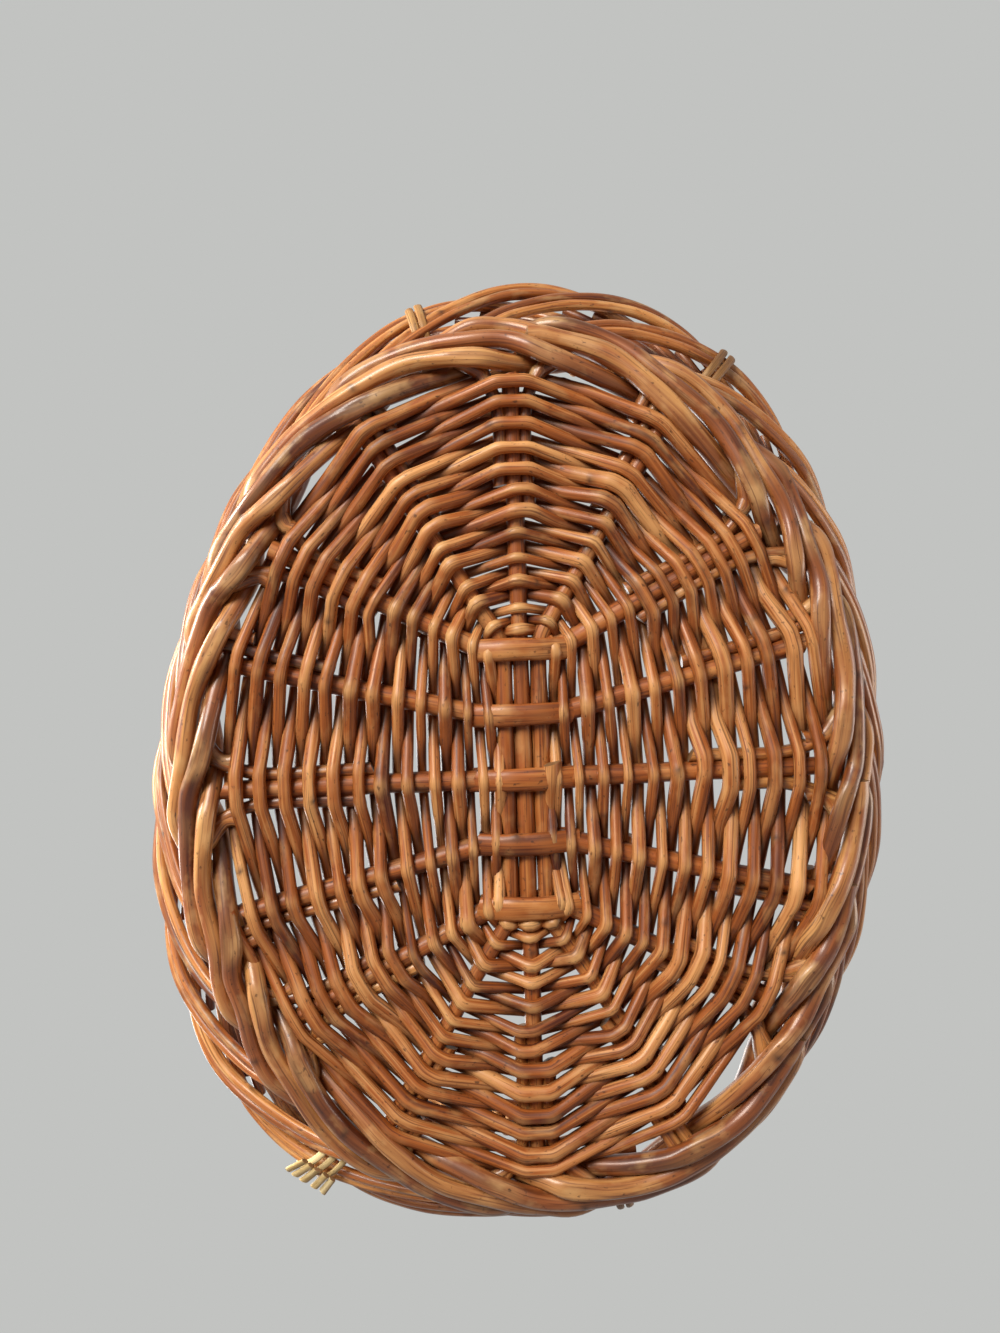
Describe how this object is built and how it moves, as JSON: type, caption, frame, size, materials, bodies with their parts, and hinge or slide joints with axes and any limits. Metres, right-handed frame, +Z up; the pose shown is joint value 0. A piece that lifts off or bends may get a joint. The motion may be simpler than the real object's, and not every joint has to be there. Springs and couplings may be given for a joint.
{
  "type": "oval wicker basket",
  "caption": "Shallow oval willow basket with a stick-and-weave base, flared side stakes turned into a braided border, a thick standing wale and lashed end handles.",
  "frame": {"origin": "on the floor, under the middle of the basket", "axes": "+Z up, X across the basket, Y along it, from handle to handle"},
  "size_m": [0.3127, 0.3983, 0.1134],
  "materials": {
    "base_stick": "varnished",
    "weaver": "varnished",
    "stake": "varnished",
    "wale": "varnished",
    "handle": "varnished",
    "lashing": "satin"
  },
  "bodies": {
    "root": {"long_stick_1": "base_stick", "long_stick_2": "base_stick", "long_stick_3": "base_stick", "cross_stick_1": "base_stick", "cross_stick_2": "base_stick", "cross_stick_3": "base_stick", "cross_stick_4": "base_stick", "cross_stick_5": "base_stick", "base_weaver_1": "weaver", "base_weaver_2": "weaver", "base_weaver_3": "weaver", "base_weaver_4": "weaver", "base_weaver_5": "weaver", "base_weaver_6": "weaver", "side_stake_1": "stake", "side_stake_2": "stake", "side_stake_3": "stake", "side_stake_4": "stake", "side_stake_5": "stake", "side_stake_6": "stake", "side_stake_7": "stake", "side_stake_8": "stake", "side_stake_9": "stake", "side_stake_10": "stake", "side_stake_11": "stake", "side_stake_12": "stake", "side_stake_13": "stake", "side_stake_14": "stake", "side_stake_15": "stake", "side_stake_16": "stake", "side_stake_17": "stake", "side_stake_18": "stake", "side_stake_19": "stake", "side_stake_20": "stake", "side_stake_21": "stake", "side_stake_22": "stake", "side_stake_23": "stake", "side_stake_24": "stake", "upsett_wale_1": "wale", "upsett_wale_2": "wale", "upsett_wale_3": "wale", "upsett_wale_4": "wale", "handle_bow_1": "handle", "handle_bow_2": "handle", "handle_wrap_1": "handle", "handle_wrap_2": "handle", "handle_wrap_3": "handle", "handle_wrap_4": "handle", "lashing_1": "lashing", "lashing_2": "lashing", "lashing_3": "lashing", "lashing_4": "lashing"}
  },
  "joints": []
}
